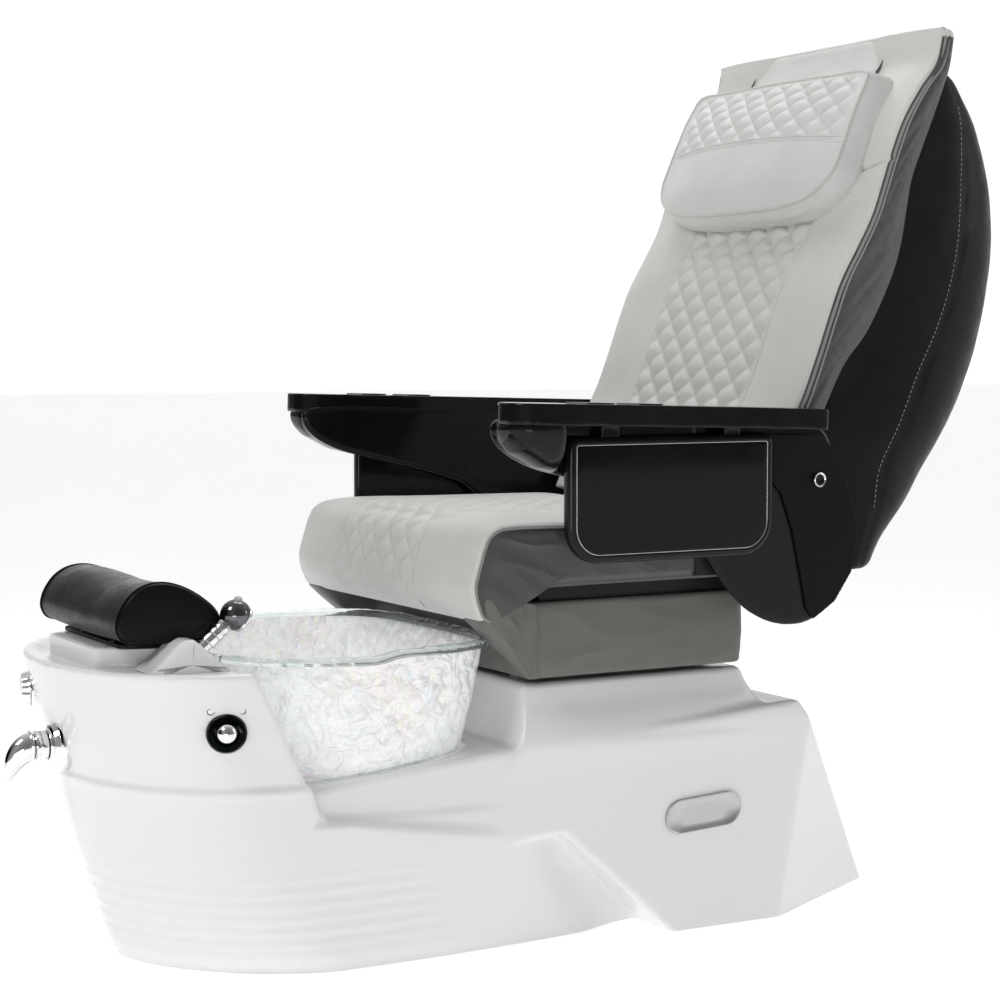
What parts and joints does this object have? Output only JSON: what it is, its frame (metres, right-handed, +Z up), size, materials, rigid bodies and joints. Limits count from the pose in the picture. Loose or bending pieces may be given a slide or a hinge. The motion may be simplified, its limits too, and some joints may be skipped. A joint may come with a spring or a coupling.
{
  "type": "pedicure spa chair",
  "caption": "Pedicure spa chair: moulded tub with a glass foot basin, sliding seat with a reclining quilted back, lift-up arms with flip trays, foot rest and hand sprayer.",
  "frame": {"origin": "on the floor under the middle of the base, between its side panels", "axes": "+X the sitter's left, +Y towards the back of the chair (the basin is at -Y), +Z up; floor at z = 0"},
  "size_m": [0.852, 1.732, 1.444],
  "materials": {
    "white_acrylic": "gloss white moulded shell",
    "frame_steel": "dark powder coat",
    "silver_plate": "satin silver plate",
    "grey_plastic": "plain moulded plastic",
    "black_plastic": "fine grained black plastic",
    "black_rubber": "matte",
    "clear_glass": "clear textured glass",
    "chrome": "polished",
    "brass": "as cast",
    "brushed_steel": "brushed",
    "grey_leather": "warm light grey soft grained leather",
    "dark_leather": "dark grey grained leather",
    "black_leather": "black grained leather",
    "gloss_black": "high gloss black",
    "textured_black": "finely textured black",
    "dark_glass": "dark tinted gloss panel"
  },
  "bodies": {
    "base": {"base_shell": "white_acrylic", "base_frame": "frame_steel", "side_badges": "silver_plate", "rear_access_panel": "white_acrylic", "control_box": "grey_plastic", "levelling_feet": "black_rubber", "glass_bowl": "clear_glass", "drain_flange": "chrome", "drain_pipe": "grey_plastic", "jet_cover": "white_acrylic", "jet_motor": "grey_plastic", "drain_knob_ring": "chrome", "drain_label_plate": "silver_plate", "faucet_escutcheon": "chrome", "mixer_valve_body": "brass", "diverter_valve": "brass", "footrest_plinth": "white_acrylic", "sprayer_boss": "white_acrylic", "slide_rails": "brushed_steel", "slide_actuator": "black_plastic"},
    "drain_knob": {"drain_knob": "chrome"},
    "drain_stopper": {"drain_stopper": "chrome"},
    "jet_impeller": {"jet_impeller": "grey_plastic"},
    "faucet": {"faucet_cap": "chrome"},
    "faucet_lever": {"faucet_lever": "chrome"},
    "diverter_knob": {"diverter_knob": "chrome"},
    "footrest": {"footrest_post": "brushed_steel", "footrest_plate": "black_plastic", "footrest_pad": "black_leather"},
    "sprayer": {"sprayer_handle": "chrome", "sprayer_head": "chrome"},
    "seat": {"slide_actuator_rod": "brushed_steel", "seat_frame": "frame_steel", "seat_skirt": "dark_leather", "seat_pan": "black_plastic", "seat_cushion": "grey_leather", "recline_motor": "black_plastic"},
    "back": {"back_frame": "frame_steel", "back_shell": "black_leather", "back_cushion": "grey_leather", "pillow": "grey_leather", "massage_rails": "brushed_steel"},
    "massage_carriage": {"massage_carriage": "black_plastic"},
    "massage_rollers": {"massage_rollers": "grey_plastic"},
    "arm_left": {"arm_body_left": "gloss_black", "arm_cover_left": "textured_black", "arm_top_left": "gloss_black", "arm_top_pad_left": "gloss_black", "arm_pivot_cap_left": "chrome"},
    "tray_left": {"tray_bezel_left": "gloss_black", "tray_panel_left": "dark_glass", "tray_pins_left": "brushed_steel"},
    "arm_right": {"arm_body_right": "gloss_black", "arm_cover_right": "textured_black", "arm_top_right": "gloss_black", "arm_top_pad_right": "gloss_black", "arm_pivot_cap_right": "chrome"},
    "tray_right": {"tray_bezel_right": "gloss_black", "tray_panel_right": "dark_glass", "tray_pins_right": "brushed_steel"}
  },
  "joints": [
    {"name": "seat_slide", "type": "slide", "parent": "base", "child": "seat", "axis": [0, 1, 0], "range_m": [0, 0.1]},
    {"name": "back_recline", "type": "hinge", "parent": "seat", "child": "back", "pos_m": [0, 0.365, 0.6], "axis": [-1, 0, 0], "range_deg": [0, 30]},
    {"name": "massage_travel", "type": "slide", "parent": "back", "child": "massage_carriage", "axis": [0, 0.3363, 0.9417], "range_m": [0, 0.38]},
    {"name": "massage_roll", "type": "hinge", "parent": "massage_carriage", "child": "massage_rollers", "pos_m": [0, 0.47626, 0.80449], "axis": [1, 0, 0], "continuous": true},
    {"name": "arm_lift_left", "type": "hinge", "parent": "seat", "child": "arm_left", "pos_m": [0.333, 0.39, 0.714], "axis": [-1, 0, 0], "range_deg": [0, 60]},
    {"name": "arm_lift_right", "type": "hinge", "parent": "seat", "child": "arm_right", "pos_m": [-0.333, 0.39, 0.714], "axis": [-1, 0, 0], "range_deg": [0, 60]},
    {"name": "tray_flip_left", "type": "hinge", "parent": "arm_left", "child": "tray_left", "pos_m": [0.364, 0.096, 0.781], "axis": [0, -1, 0], "range_deg": [0, 90]},
    {"name": "tray_flip_right", "type": "hinge", "parent": "arm_right", "child": "tray_right", "pos_m": [-0.364, 0.096, 0.781], "axis": [0, 1, 0], "range_deg": [0, 90]},
    {"name": "footrest_lift", "type": "slide", "parent": "base", "child": "footrest", "axis": [0, 0, 1], "range_m": [0, 0.06]},
    {"name": "sprayer_pull", "type": "slide", "parent": "base", "child": "sprayer", "axis": [0, 0.788, 0.6157], "range_m": [0, 0.1]},
    {"name": "drain_knob_turn", "type": "hinge", "parent": "base", "child": "drain_knob", "pos_m": [0.281, -0.604, 0.379], "axis": [0.933, -0.3396, 0.1191], "range_deg": [0, 90]},
    {"name": "drain_stopper_lift", "type": "slide", "parent": "base", "child": "drain_stopper", "axis": [0, 0, 1], "range_m": [0, 0.008]},
    {"name": "faucet_swivel", "type": "hinge", "parent": "base", "child": "faucet", "pos_m": [0, -0.759, 0.332], "axis": [0, -1, 0], "range_deg": [-45, 45]},
    {"name": "faucet_lever_lift", "type": "hinge", "parent": "faucet", "child": "faucet_lever", "pos_m": [0, -0.798, 0.352], "axis": [-1, 0, 0], "range_deg": [0, 25]},
    {"name": "diverter_turn", "type": "hinge", "parent": "base", "child": "diverter_knob", "pos_m": [-0.118, -0.75, 0.4], "axis": [-0.2425, -0.9701, 0], "range_deg": [0, 90]},
    {"name": "jet_spin", "type": "hinge", "parent": "base", "child": "jet_impeller", "pos_m": [0, -0.285, 0.211], "axis": [0, 0, 1], "continuous": true}
  ],
  "couplings": [
    {"joint": "drain_stopper_lift", "follows": "drain_knob_turn", "m_per_rad": 0.00509}
  ]
}
